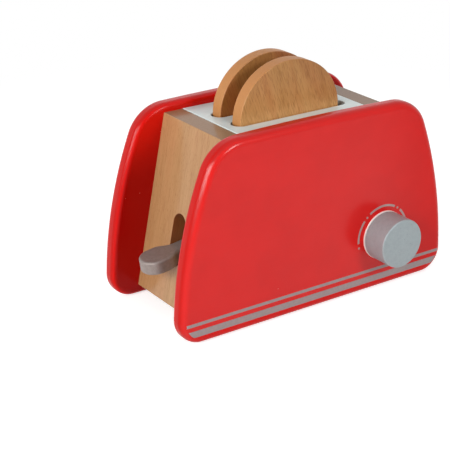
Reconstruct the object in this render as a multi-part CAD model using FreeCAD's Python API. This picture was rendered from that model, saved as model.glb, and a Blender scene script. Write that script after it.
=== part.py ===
import FreeCAD, Part
import math
import os
from FreeCAD import Vector

# Wooden toy toaster.  X runs along its length (the lever end is at -X), Y from the
# knob side (-Y) to the back, Z up from the surface it stands on.  Millimetres.
# Every solid is modelled about the middle of the case, and moved as one at export.

# ---------------------------------------------------------------- side panels
panel_length = 190.0
panel_height = 114.8
panel_thickness = 10.7
panel_foot_radius = 14.4
panel_side_lean = 2.3        # degrees that the side leans in just above the foot
panel_side_radius = 250.5
panel_shoulder_radius = 24.8
panel_crown_radius = 1900.0
panel_outer_round = 4.5
panel_inner_round = 3.4
case_width = 63.8            # clear distance between the panels

# ------------------------------------------------------------ case of boards
deck_height = 109.0          # top of the end boards
case_lift = 6.2              # underside of the case above the table
end_board_thickness = 12.0
end_board_lean = 11.3        # degrees from upright
end_board_set_back = 16.85   # from the panels' ends, at the underside of the case
board_edge_round = 0.5
top_plate_thickness = 9.0
top_plate_proud = 0.4
base_thickness = 8.0
board_joint_gap = 0.15
cleat_width = 6.0
cleat_height = 9.0
cleat_end_gap = 1.0
base_cleat_width = 11.0
base_cleat_height = 10.0

# ------------------------------------------------------------- toast openings
toast_slot_margin = 5.9       # from the plate's end, at its top
toast_slot_width = 10.2
toast_pitch = 19.6           # between the middles of the two slots
toast_slot_round = 0.5

# ------------------------------------------------------------------- slices
slice_end_play = 4.65         # to each end of the opening, when centred
slice_height = 73.3
slice_thickness = 8.1
slice_arch_drop = 2.3        # how much lower the rounded top is than a half circle
slice_foot_radius = 3.0
slice_edge_round = 0.5
slice_shift = -2.0           # the slices stand a little towards the lever

# ------------------------------------------------------------------- lever
lever_pivot_depth = 34.9     # from the end board's outer face, level
lever_pivot_z = 42.6
lever_pressed_tilt = 9.0     # degrees, paddle down
lever_swing = 26.0           # degrees from pressed to released
lever_thickness = 8.0
lever_neck_width = 9.2
lever_paddle_width = 18.0
lever_neck_length = 34.0     # pivot to the start of the flare
lever_flare_length = 12.0
lever_length = 58.5          # pivot to the tip of the paddle
lever_edge_round = 1.2
lever_tail = 6.0             # arm left beyond the middle of the lift bar
lever_slot_width = 12.0
lever_slot_headroom = 2.0    # slot left above the neck when released
lever_slot_footroom = 4.0    # slot left below the neck when pressed

# -------------------------------------------------- pivot rod and lift bar
pivot_rod_diameter = 4.0
pivot_rod_socket = 6.0
spacer_diameter = 8.0
lift_bar_diameter = 10.0
lift_bar_length = 32.0
lift_bar_arm = 46.0          # pivot to the lift bar, along the lever
lift_bar_seat = 1.8          # depth of its saddle in the lever

# --------------------------------------------------- lift tray and its guides
tray_length = 48.0
tray_side_gap = 1.7          # tray to panel
tray_thickness = 12.0
tray_groove_depth = 6.0
tray_channel_depth = 4.0     # under the tray, clear of the lever's arm
tray_channel_side_gap = 0.7
tray_edge_round = 0.5
guide_rod_diameter = 6.0
guide_rod_from_panel = 7.9   # middle of the rod to the panel's inner face
guide_rod_x = 4.0
guide_rod_socket = 4.5

# -------------------------------------------------------------------- knob
knob_from_end = 48.5         # from the panels' ends
knob_z = 34.1
knob_diameter = 29.7
knob_reach = 17.3            # knob face from the panel
knob_face_round = 0.8
knob_back_round = 0.4
washer_thickness = 0.9
washer_overhang = 0.15
axle_diameter = 6.0
axle_depth_in_knob = 10.0
retainer_diameter = 15.0
retainer_thickness = 5.0

# ----------------------------------------------------- dowels and screws
dowel_diameter = 6.0
dowel_in_panel = 6.0
dowel_in_board = 14.0
dowel_low_z = 22.0
dowel_high_z = 88.0
screw_diameter = 3.0
screw_head_diameter = 6.0
screw_head_depth = 1.6
screw_length = 16.0
screw_from_panel = 11.9      # middle of the screw to the panel's inner face
screw_recess_length = 3.3
screw_recess_width = 0.8
screw_recess_depth = 1.0

# -------------------------------------------------------------- clearances
running_gap = 0.08           # radial, turning or sliding on a rod
free_gap = 0.3               # between pieces that move past each other
glue_gap = 0.05              # radial, pieces glued in their holes
socket_end_gap = 0.3         # left at the bottom of a blind hole
cut_margin = 1.0             # how far a cutter starts outside the wood

# ------------------------------------------------------------ worked-out sizes
half_gap = case_width / 2
lean = math.tan(math.radians(end_board_lean))
end_board_run = end_board_thickness / math.cos(math.radians(end_board_lean))
end_board_foot_reach = panel_length / 2 - end_board_set_back
plate_top = deck_height + top_plate_proud
plate_bottom = plate_top - top_plate_thickness
base_top = case_lift + base_thickness
plate_reach = end_board_foot_reach - (plate_top - case_lift) * lean - end_board_run - board_joint_gap
toast_slot_length = 2 * (plate_reach - toast_slot_margin)
slice_width = toast_slot_length - 2 * slice_end_play
slice_arch = slice_width / 2 - slice_arch_drop
knob_x = panel_length / 2 - knob_from_end
knob_shift = knob_reach / 2
UP = Vector(0, 0, 1)
ALONG = Vector(1, 0, 0)
ACROSS = Vector(0, 1, 0)
MIDDLE = Vector(0, 0, 0)


def outer_x(z):
    """Distance from the middle to an end board's outer face at height z."""
    return end_board_foot_reach - (z - case_lift) * lean


def inner_x(z):
    """Distance from the middle to an end board's inner face at height z."""
    return outer_x(z) - end_board_run


def rod(diameter, start, end):
    """Round bar between two points."""
    axis = end - start
    return Part.makeCylinder(diameter / 2, axis.Length, start, axis)


def prism(outline, y_from, y_to):
    """Solid between two heights of Y whose section is a closed list of (x, z)."""
    points = [Vector(x, y_from, z) for x, z in outline]
    wire = Part.makePolygon(points + [points[0]])
    return Part.Face(wire).extrude(Vector(0, y_to - y_from, 0))


def round_edges(solid, radius, chosen):
    """Round every edge whose bounding box passes the test."""
    edges = [edge for edge in solid.Edges if chosen(edge.BoundBox)]
    return solid.makeFillet(radius, edges)


def on_level(low, high, level, slack=0.01):
    """True when a span lies on one level."""
    return abs(low - level) < slack and abs(high - level) < slack


def mirror_x(solid):
    """The same piece at the other end."""
    return solid.mirror(MIDDLE, ALONG)


def mirror_y(solid):
    """The same piece on the other side."""
    return solid.mirror(MIDDLE, ACROSS)


def direction(angle):
    """Unit vector in the XZ plane, 0 along +X and 90 up."""
    turn = math.radians(angle)
    return Vector(math.cos(turn), 0, math.sin(turn))


def arc(centre, radius, start, end):
    """Arc in the XZ plane, from one angle to another."""
    points = [centre + direction(angle) * radius for angle in (start, (start + end) / 2, end)]
    return Part.Arc(*points).toShape()


def angle_of(vector):
    """Direction of a vector in the XZ plane, in degrees."""
    return math.degrees(math.atan2(vector.z, vector.x))


def shoulder_centre(side_centre, crown_centre):
    """Centre of the arc that touches both the side arc and the crown arc from inside."""
    to_side = panel_side_radius - panel_shoulder_radius
    to_crown = panel_crown_radius - panel_shoulder_radius
    span = side_centre - crown_centre
    along = (to_crown ** 2 - to_side ** 2 + span.Length ** 2) / (2 * span.Length)
    off = math.sqrt(to_crown ** 2 - along ** 2)
    unit = Vector(span).normalize()
    square = Vector(unit.z, 0, -unit.x)
    return crown_centre + unit * along + square * off


def panel_outline():
    """Closed outline of a side panel: flat foot, round corners, leaning sides, low crown."""
    foot = Vector(panel_length / 2 - panel_foot_radius, 0, panel_foot_radius)
    side = foot - direction(panel_side_lean) * (panel_side_radius - panel_foot_radius)
    crown = Vector(0, 0, panel_height - panel_crown_radius)
    shoulder = shoulder_centre(side, crown)
    side_top = angle_of(shoulder - side)
    crown_end = angle_of(shoulder - crown)
    right = [
        arc(foot, panel_foot_radius, -90, panel_side_lean),
        arc(side, panel_side_radius, panel_side_lean, side_top),
        arc(shoulder, panel_shoulder_radius, side_top, crown_end),
    ]
    left = [mirror_x(edge) for edge in right]
    top = arc(crown, panel_crown_radius, crown_end, 180 - crown_end)
    base = Part.makeLine(Vector(-foot.x, 0, 0), Vector(foot.x, 0, 0))
    return Part.Wire(Part.__sortEdges__([base] + right + [top] + left))


def side_panel():
    """Back panel without holes: inner face on the case, outer edge well rounded."""
    outer = half_gap + panel_thickness
    board = Part.Face(panel_outline()).extrude(Vector(0, panel_thickness, 0))
    board.translate(Vector(0, half_gap, 0))
    for radius, level in ((panel_outer_round, outer), (panel_inner_round, half_gap)):
        board = round_edges(board, radius, lambda box: on_level(box.YMin, box.YMax, level))
    return board


def dowel_places():
    """Middles of the dowels that tie the end boards to a panel, as (x, z)."""
    places = []
    for z in (dowel_low_z, dowel_high_z):
        reach = outer_x(z) - end_board_run / 2
        places += [(-reach, z), (reach, z)]
    return places


def dowel_rods(side, extra=0.0, end_gap=0.0):
    """Dowels on one side (-1 front, 1 back), or their holes when given the extra sizes."""
    start = side * (half_gap - dowel_in_board - end_gap)
    end = side * (half_gap + dowel_in_panel + end_gap)
    width = dowel_diameter + extra
    return [rod(width, Vector(x, start, z), Vector(x, end, z)) for x, z in dowel_places()]


def dowel_holes(side):
    """Holes for the dowels on one side."""
    return dowel_rods(side, 2 * glue_gap, socket_end_gap)


def at_pivot(y):
    """Point on the lever's axis."""
    return Vector(lever_pivot_depth - outer_x(lever_pivot_z), y, lever_pivot_z)


def at_knob(y):
    """Point on the knob's axis."""
    return Vector(knob_x, y, knob_z)


def pivot_hole(side):
    """Blind hole for the end of the pivot rod in one panel."""
    start = side * (half_gap - cut_margin)
    end = side * (half_gap + pivot_rod_socket + socket_end_gap)
    return rod(pivot_rod_diameter + 2 * glue_gap, at_pivot(start), at_pivot(end))


def front_panel():
    """Panel on the knob side, with the running bore for the knob's axle."""
    start = at_knob(-half_gap - panel_thickness - cut_margin)
    end = at_knob(-half_gap + cut_margin)
    bore = rod(axle_diameter + 2 * running_gap, start, end)
    return mirror_y(side_panel()).cut(dowel_holes(-1) + [pivot_hole(-1), bore])


def back_panel():
    """Panel at the back."""
    return side_panel().cut(dowel_holes(1) + [pivot_hole(1)])


def plain_end_board():
    """Leaning board at the +X end, its top and bottom level."""
    outline = [
        (inner_x(case_lift), case_lift),
        (outer_x(case_lift), case_lift),
        (outer_x(deck_height), deck_height),
        (inner_x(deck_height), deck_height),
    ]
    board = prism(outline, -half_gap, half_gap)

    def outer_long_edge(box):
        middle = inner_x(box.ZMin) + end_board_run / 2
        return box.YLength > half_gap and box.XMin > middle and box.ZLength < end_board_thickness
    return round_edges(board, board_edge_round, outer_long_edge)


def right_end_board():
    """End board without the lever slot."""
    return plain_end_board().cut(dowel_holes(-1) + dowel_holes(1))


def lever_face_height(tilt, side):
    """Height of the lever's upper (1) or lower (-1) face where it leaves the end board."""
    turn = math.radians(tilt)
    half = side * lever_thickness / 2 / math.cos(turn)
    return lever_pivot_z + half + lever_pivot_depth * math.tan(turn)


def lever_slot():
    """Cutter for the slot that the lever's neck moves in, square to the leaning board."""
    low = lever_face_height(-lever_pressed_tilt, -1) - lever_slot_footroom
    high = lever_face_height(lever_swing - lever_pressed_tilt, 1) + lever_slot_headroom
    length = (high - low) / math.cos(math.radians(end_board_lean))
    radius = lever_slot_width / 2
    reach = end_board_thickness + cut_margin
    corner = Vector(-reach, -radius, radius)
    cutter = Part.makeBox(2 * reach, lever_slot_width, length - lever_slot_width, corner)
    for z in (radius, length - radius):
        cutter = cutter.fuse(rod(lever_slot_width, Vector(-reach, 0, z), Vector(reach, 0, z)))
    cutter.rotate(MIDDLE, ACROSS, end_board_lean)
    cutter.translate(Vector(-outer_x(low), 0, low))
    return cutter


def left_end_board():
    """End board with the lever slot."""
    return mirror_x(plain_end_board()).cut(dowel_holes(-1) + dowel_holes(1) + [lever_slot()])


def between_boards(bottom, top, side_gap):
    """Board that fills the case between the end boards, bevelled to their lean."""
    low = inner_x(bottom) - board_joint_gap
    high = inner_x(top) - board_joint_gap
    outline = [(-low, bottom), (low, bottom), (high, top), (-high, top)]
    return prism(outline, -half_gap + side_gap, half_gap - side_gap)


def toast_slot(y):
    """Cutter for one toast opening: a long hole with round ends."""
    radius = toast_slot_width / 2
    reach = toast_slot_length / 2 - radius
    low = plate_bottom - cut_margin
    high = plate_top + cut_margin
    middle = Part.makeBox(2 * reach, toast_slot_width, high - low, Vector(-reach, y - radius, low))
    ends = [rod(toast_slot_width, Vector(x, y, low), Vector(x, y, high)) for x in (-reach, reach)]
    return middle.fuse(ends).removeSplitter()


def upright_at_guide(side, bottom, top, extra=0.0):
    """Upright bar at a guide rod's place, or its hole when given the extra width."""
    y = side * (half_gap - guide_rod_from_panel)
    width = guide_rod_diameter + extra
    return rod(width, Vector(guide_rod_x, y, bottom), Vector(guide_rod_x, y, top))


def guide_sockets(bottom, top):
    """Blind holes for both guide rods."""
    return [upright_at_guide(side, bottom, top, 2 * glue_gap) for side in (-1, 1)]


def top_plate():
    """Plate with the two toast openings."""
    plate = between_boards(plate_bottom, plate_top, board_joint_gap)
    plate = plate.cut([toast_slot(y) for y in (-toast_pitch / 2, toast_pitch / 2)])
    plate = round_edges(plate, toast_slot_round, lambda box: on_level(box.ZMin, box.ZMax, plate_top))
    depth = guide_rod_socket + socket_end_gap
    return plate.cut(guide_sockets(plate_bottom - cut_margin, plate_bottom + depth))


def screw_places():
    """Middles of the base screws, as (x, y)."""
    reach = inner_x(base_top) - base_cleat_width / 2
    side = half_gap - screw_from_panel
    return [(x, y) for x in (-reach, reach) for y in (-side, side)]


def screw_body(x, y, extra=0.0, end_gap=0.0):
    """Countersunk screw without its recess, head level with the underside of the case."""
    foot = Vector(x, y, case_lift)
    wide = (screw_head_diameter + extra) / 2
    narrow = (screw_diameter + extra) / 2
    shank = rod(2 * narrow, foot, foot + UP * (screw_length + end_gap))
    return shank.fuse(Part.makeCone(wide, narrow, screw_head_depth, foot, UP))


def base_screw(x, y):
    """Countersunk screw with a cross recess."""
    cross = [(screw_recess_length, screw_recess_width), (screw_recess_width, screw_recess_length)]
    cuts = []
    for size_x, size_y in cross:
        corner = Vector(x - size_x / 2, y - size_y / 2, case_lift - cut_margin)
        cuts.append(Part.makeBox(size_x, size_y, cut_margin + screw_recess_depth, corner))
    return screw_body(x, y).cut(cuts)


def screw_holes():
    """Holes for the base screws."""
    return [screw_body(x, y, 2 * glue_gap, socket_end_gap) for x, y in screw_places()]


def base_board():
    """Board that closes the case below and holds the guide rods."""
    board = between_boards(case_lift, base_top, board_joint_gap)
    depth = guide_rod_socket + socket_end_gap
    return board.cut(guide_sockets(base_top - depth, base_top + cut_margin) + screw_holes())


def cleat(low, high, inside):
    """Batten across the case, its outer face bevelled to the +X end board."""
    outline = [(inside, low), (inner_x(low), low), (inner_x(high), high), (inside, high)]
    return prism(outline, -half_gap + cleat_end_gap, half_gap - cleat_end_gap)


def top_cleat():
    """Batten under the plate at the +X end, glued to the end board."""
    low = plate_bottom - cleat_height
    return cleat(low, plate_bottom, inner_x(plate_bottom) - cleat_width)


def base_cleat():
    """Batten on the base at the +X end, which the base screws hold."""
    inside = inner_x(base_top) - base_cleat_width
    return cleat(base_top, base_top + base_cleat_height, inside).cut(screw_holes())


def lever_half_outline(side):
    """Edges of the lever's plan from its inner end to the paddle's tip, on one side."""
    neck = side * lever_neck_width / 2
    paddle = side * lever_paddle_width / 2
    flare_in = -lever_neck_length
    flare_out = flare_in - lever_flare_length
    tip_centre = -(lever_length - lever_paddle_width / 2)
    rise = paddle - neck
    radius = (lever_flare_length ** 2 + rise ** 2) / (4 * abs(rise))
    half_turn = math.atan2(abs(rise), lever_flare_length)
    dip_x = radius * math.sin(half_turn)
    dip_y = side * radius * (1 - math.cos(half_turn))
    middle = Vector((flare_in + flare_out) / 2, (neck + paddle) / 2, 0)
    halfway = math.cos(math.radians(45))
    tip_side = Vector(tip_centre - abs(paddle) * halfway, paddle * halfway, 0)
    inner_end = Vector(lift_bar_arm + lever_tail, neck, 0)
    flare_start = Vector(flare_in, neck, 0)
    flare_end = Vector(flare_out, paddle, 0)
    flank_end = Vector(tip_centre, paddle, 0)
    return [
        Part.makeLine(inner_end, flare_start),
        Part.Arc(flare_start, Vector(flare_in - dip_x, neck + dip_y, 0), middle).toShape(),
        Part.Arc(middle, Vector(flare_out + dip_x, paddle - dip_y, 0), flare_end).toShape(),
        Part.makeLine(flare_end, flank_end),
        Part.Arc(flank_end, tip_side, Vector(-lever_length, 0, 0)).toShape(),
    ]


def pose_lever(solid):
    """Move a piece from the lever's own level frame to its pressed place."""
    solid.rotate(MIDDLE, ACROSS, -lever_pressed_tilt)
    solid.translate(at_pivot(0))
    return solid


def lift_bar_height():
    """Middle of the lift bar above the middle of the lever."""
    return lever_thickness / 2 - lift_bar_seat + lift_bar_diameter / 2


def lift_bar_rod(extra, length):
    """Round bar across the lever at the lift bar's place, in the lever's own frame."""
    start = Vector(lift_bar_arm, -length / 2, lift_bar_height())
    return rod(lift_bar_diameter + extra, start, start + ACROSS * length)


def lever():
    """Flat lever with a spoon-shaped paddle, a neck and a long arm."""
    end = lift_bar_arm + lever_tail
    half = lever_neck_width / 2
    closing = Part.makeLine(Vector(end, -half, 0), Vector(end, half, 0))
    edges = lever_half_outline(1) + lever_half_outline(-1) + [closing]
    plan = Part.Face(Part.Wire(Part.__sortEdges__(edges)))
    plan.translate(Vector(0, 0, -lever_thickness / 2))
    bar = plan.extrude(UP * lever_thickness)
    bar = round_edges(bar, lever_edge_round, lambda box: box.ZLength < lever_thickness / 2)
    across = ACROSS * lever_paddle_width
    pivot = rod(pivot_rod_diameter + 2 * running_gap, across * -1, across)
    saddle = lift_bar_rod(2 * glue_gap, 2 * lever_paddle_width)
    return pose_lever(bar.cut([pivot, saddle]))


def lift_bar():
    """Round bar glued across the lever's arm, which lifts the tray."""
    return pose_lever(lift_bar_rod(0, lift_bar_length))


def lift_bar_top():
    """Height of the top of the lift bar while the lever is pressed."""
    turn = math.radians(lever_pressed_tilt)
    middle = lift_bar_arm * math.sin(turn) + lift_bar_height() * math.cos(turn)
    return lever_pivot_z + middle + lift_bar_diameter / 2


def pivot_rod():
    """Steel rod from panel to panel that the lever rocks on."""
    reach = half_gap + pivot_rod_socket
    return rod(pivot_rod_diameter, at_pivot(-reach), at_pivot(reach))


def pivot_spacer(side):
    """Sleeve on the pivot rod that keeps the lever in the middle."""
    start = at_pivot(side * (lever_neck_width / 2 + free_gap))
    end = at_pivot(side * (half_gap - glue_gap))
    return rod(spacer_diameter, start, end).cut(rod(pivot_rod_diameter + 2 * glue_gap, start, end))


def tray_bottom():
    """Underside of the raised tray."""
    return lift_bar_top() + free_gap


def groove_floor():
    """Bottom of the grooves that the slices stand in."""
    return tray_bottom() + tray_thickness - tray_groove_depth


def lift_tray():
    """Block with a groove for each slice, a bore for each guide rod and a channel below."""
    width = case_width - 2 * tray_side_gap
    bottom = tray_bottom()
    top = bottom + tray_thickness
    corner = Vector(-tray_length / 2, -width / 2, bottom)
    tray = Part.makeBox(tray_length, width, tray_thickness, corner)
    tray = round_edges(tray, tray_edge_round, lambda box: box.ZLength > tray_thickness / 2)
    groove_width = slice_thickness + 2 * free_gap
    cuts = []
    for side in (-1, 1):
        corner = Vector(-tray_length, side * toast_pitch / 2 - groove_width / 2, groove_floor())
        cuts.append(Part.makeBox(2 * tray_length, groove_width, tray_thickness, corner))
        cuts.append(upright_at_guide(side, bottom - cut_margin, top + cut_margin, 2 * running_gap))
    channel_width = lever_neck_width + 2 * tray_channel_side_gap
    corner = Vector(-tray_length, -channel_width / 2, bottom - cut_margin)
    channel = Part.makeBox(2 * tray_length, channel_width, cut_margin + tray_channel_depth, corner)
    return tray.cut(cuts + [channel])


def guide_rod(side):
    """Upright rod from the base to the plate that the tray slides on."""
    return upright_at_guide(side, base_top - guide_rod_socket, plate_bottom + guide_rod_socket)


def toast_slice(side):
    """Slice of toast: upright sides, round top, standing in its groove."""
    half = slice_width / 2
    foot = slice_foot_radius
    low = groove_floor() + free_gap
    spring = low + slice_height - slice_arch
    y = side * toast_pitch / 2 - slice_thickness / 2
    middle = Vector(0, y, spring)
    ellipse = Part.Ellipse(middle + ALONG * half, middle + UP * slice_arch, middle)
    edges = [
        Part.ArcOfEllipse(ellipse, 0, math.pi).toShape(),
        Part.makeLine(Vector(half, y, spring), Vector(half, y, low + foot)),
        Part.makeLine(Vector(half - foot, y, low), Vector(foot - half, y, low)),
        Part.makeLine(Vector(-half, y, low + foot), Vector(-half, y, spring)),
        arc(Vector(half - foot, y, low + foot), foot, -90, 0),
        arc(Vector(foot - half, y, low + foot), foot, 180, 270),
    ]
    face = Part.Face(Part.Wire(Part.__sortEdges__(edges)))
    bread = face.extrude(ACROSS * slice_thickness)
    bread = round_edges(bread, slice_edge_round, lambda box: box.YLength < slice_thickness / 2)
    bread.translate(Vector(slice_shift, 0, 0))
    return bread


def knob_seat():
    """Y of the panel's outer face, where the knob's washer sits."""
    return -half_gap - panel_thickness


def knob():
    """Turned knob with a blind bore for its axle."""
    face = knob_seat() - knob_reach
    back = knob_seat() - washer_thickness - free_gap
    body = rod(knob_diameter, at_knob(back), at_knob(face))
    body = round_edges(body, knob_face_round, lambda box: on_level(box.YMin, box.YMax, face))
    body = round_edges(body, knob_back_round, lambda box: on_level(box.YMin, box.YMax, back))
    bore_end = back - axle_depth_in_knob - socket_end_gap
    bore_start = back + cut_margin
    return body.cut(rod(axle_diameter + 2 * glue_gap, at_knob(bore_start), at_knob(bore_end)))


def knob_washer():
    """Thin washer on the panel behind the knob."""
    start = at_knob(knob_seat())
    end = at_knob(knob_seat() - washer_thickness)
    disc = rod(knob_diameter + 2 * washer_overhang, start, end)
    return disc.cut(rod(axle_diameter + 2 * free_gap, start, end))


def retainer_span():
    """Y of both faces of the retainer."""
    near = -half_gap + free_gap
    return near, near + retainer_thickness


def knob_axle():
    """Dowel from the knob through the panel to the retainer."""
    start = knob_seat() - washer_thickness - free_gap - axle_depth_in_knob
    return rod(axle_diameter, at_knob(start), at_knob(retainer_span()[1]))


def knob_retainer():
    """Collar glued on the axle inside the case."""
    near, far = retainer_span()
    collar = rod(retainer_diameter, at_knob(near), at_knob(far))
    return collar.cut(rod(axle_diameter + 2 * glue_gap, at_knob(near), at_knob(far)))


def all_parts():
    """Every node and its shape, about the middle of the case."""
    return {
        "front_panel": front_panel(),
        "back_panel": back_panel(),
        "left_end_board": left_end_board(),
        "right_end_board": right_end_board(),
        "top_plate": top_plate(),
        "top_cleat_left": mirror_x(top_cleat()),
        "top_cleat_right": top_cleat(),
        "base_board": base_board(),
        "base_cleat_left": mirror_x(base_cleat()),
        "base_cleat_right": base_cleat(),
        "base_screws": Part.makeCompound([base_screw(x, y) for x, y in screw_places()]),
        "panel_dowels_front": Part.makeCompound(dowel_rods(-1)),
        "panel_dowels_back": Part.makeCompound(dowel_rods(1)),
        "guide_rod_front": guide_rod(-1),
        "guide_rod_back": guide_rod(1),
        "lever_pivot_rod": pivot_rod(),
        "lever_spacer_front": pivot_spacer(-1),
        "lever_spacer_back": pivot_spacer(1),
        "lever": lever(),
        "lift_bar": lift_bar(),
        "lift_tray": lift_tray(),
        "toast_slice_front": toast_slice(-1),
        "toast_slice_back": toast_slice(1),
        "knob": knob(),
        "knob_washer": knob_washer(),
        "knob_axle": knob_axle(),
        "knob_retainer": knob_retainer(),
    }


def main():
    """Write one STEP file for each node, with the origin under the middle of the whole."""
    os.makedirs("parts", exist_ok=True)
    for name, shape in all_parts().items():
        shape.translate(Vector(0, knob_shift, 0))
        shape.exportStep("parts/" + name + ".step")
        print(f"{name:20s} solids {len(shape.Solids)} valid {shape.isValid()} {shape.Volume:10.1f} mm3")


main()
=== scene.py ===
import logging
import math
from contextlib import contextmanager
from dataclasses import dataclass, field, replace
from enum import Enum
from typing import Callable, Iterator, Mapping, Sequence, Union

import bpy
from mathutils import Euler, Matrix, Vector


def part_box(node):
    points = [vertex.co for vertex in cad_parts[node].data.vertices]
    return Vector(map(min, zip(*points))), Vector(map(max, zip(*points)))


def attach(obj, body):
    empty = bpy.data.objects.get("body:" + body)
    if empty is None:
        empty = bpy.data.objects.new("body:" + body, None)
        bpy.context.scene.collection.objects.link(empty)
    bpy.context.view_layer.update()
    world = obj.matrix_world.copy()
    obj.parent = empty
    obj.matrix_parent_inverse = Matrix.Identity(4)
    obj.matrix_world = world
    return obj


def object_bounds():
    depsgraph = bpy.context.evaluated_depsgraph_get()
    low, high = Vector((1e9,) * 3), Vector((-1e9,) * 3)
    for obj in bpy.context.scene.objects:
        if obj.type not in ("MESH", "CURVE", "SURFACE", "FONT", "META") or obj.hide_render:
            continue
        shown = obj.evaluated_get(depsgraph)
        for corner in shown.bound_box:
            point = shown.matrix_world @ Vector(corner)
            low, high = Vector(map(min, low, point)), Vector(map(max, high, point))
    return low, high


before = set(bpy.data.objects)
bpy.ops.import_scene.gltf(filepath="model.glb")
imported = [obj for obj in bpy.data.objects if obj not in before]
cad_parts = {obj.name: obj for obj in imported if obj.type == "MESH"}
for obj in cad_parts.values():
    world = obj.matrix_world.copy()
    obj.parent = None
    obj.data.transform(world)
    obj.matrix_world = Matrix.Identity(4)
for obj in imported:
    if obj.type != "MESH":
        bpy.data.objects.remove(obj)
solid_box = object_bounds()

log = logging.getLogger("toy_toaster")

MM = 0.001
TOUCHING = 1e-6  # metres within which two points are one
WHITE = (1.0, 1.0, 1.0, 1.0)
Colour = tuple[float, float, float]
Point = tuple[float, float, float]
Number = Union[float, "Shade"]


# ---------------------------------------------------------------- shader maths


class Shade:
    """A number that changes over a surface, with the arithmetic of plain numbers."""

    def __init__(self, socket: bpy.types.NodeSocket) -> None:
        """Keeps the output socket that carries the number."""
        self.socket = socket

    def _math(self, operation: str, *numbers: Number) -> "Shade":
        """Adds one Math node beside this shade.

        Args:
            operation: The Math node's operation.
            numbers: The values of its sockets, in order.

        Returns:
            The result as a new shade.
        """
        board = NodeBoard(self.socket.id_data)
        node = board.node("Math", {"operation": operation}, dict(enumerate(numbers)))
        return Shade(node.outputs[0])

    def __add__(self, other: Number) -> "Shade":
        """This shade plus another number."""
        return self._math("ADD", self, other)

    def __radd__(self, other: Number) -> "Shade":
        """Another number plus this shade."""
        return self._math("ADD", other, self)

    def __sub__(self, other: Number) -> "Shade":
        """This shade less another number."""
        return self._math("SUBTRACT", self, other)

    def __rsub__(self, other: Number) -> "Shade":
        """Another number less this shade."""
        return self._math("SUBTRACT", other, self)

    def __mul__(self, other: Number) -> "Shade":
        """This shade times another number."""
        return self._math("MULTIPLY", self, other)

    def __rmul__(self, other: Number) -> "Shade":
        """Another number times this shade."""
        return self._math("MULTIPLY", other, self)

    def __pow__(self, other: Number) -> "Shade":
        """This shade raised to a power."""
        return self._math("POWER", self, other)

    def __abs__(self) -> "Shade":
        """This shade without its sign."""
        return self._math("ABSOLUTE", self)

    def either(self, other: Number) -> "Shade":
        """The larger of this shade and another number."""
        return self._math("MAXIMUM", self, other)

    def swing(self, amount: float) -> "Shade":
        """How far this shade is from one half, times an amount."""
        return (self - 0.5) * amount

    def ramp(self, low: float, high: float, top: float = 1.0) -> "Shade":
        """Turns this shade into a smooth step.

        Args:
            low: Where the step starts, which may be above high.
            high: Where it is full.
            top: How high it is then.

        Returns:
            A shade from 0 to the top.
        """
        board = NodeBoard(self.socket.id_data)
        node = board.node(
            "MapRange",
            {"interpolation_type": "SMOOTHSTEP", "clamp": True},
            {"Value": self, "From Min": low, "From Max": high, "To Max": top},
        )
        return Shade(node.outputs[0])


@dataclass(frozen=True)
class Fade:
    """A change that starts at one value and is full at another, and its strength there."""

    start: float
    full: float
    strength: float = 1.0

    def of(self, shade: Shade, beyond: float = 0.0) -> Shade:
        """Lays the fade over a shade, with start and full counted from a value."""
        return shade.ramp(beyond + self.start, beyond + self.full, self.strength)


@dataclass(frozen=True)
class Clouds:
    """A cloudy pattern and how it shows in the colour, the relief and the roughness.

    Waves are counted per millimetre along each axis, and detail is the number of finer layers.
    """

    waves: Point
    detail: float = 2.0
    tint: Fade = Fade(0.3, 0.7)
    height: float = 0.0
    rough: float = 0.0


@dataclass(frozen=True)
class Specks:
    """Scattered grains and how they show in the colour, the relief and the roughness.

    Cells are counted per millimetre along each axis. A grain's size is its radius in cells, and
    share tells how many of the cells have one. The core is the full part of a grain, and the step
    parts the cells with a grain from those without.
    """

    cells: Point
    size: float
    share: float
    tint: float = 1.0
    height: float = 0.0
    rough: float = 0.0
    core: float = 0.55
    step: float = 0.06


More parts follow.
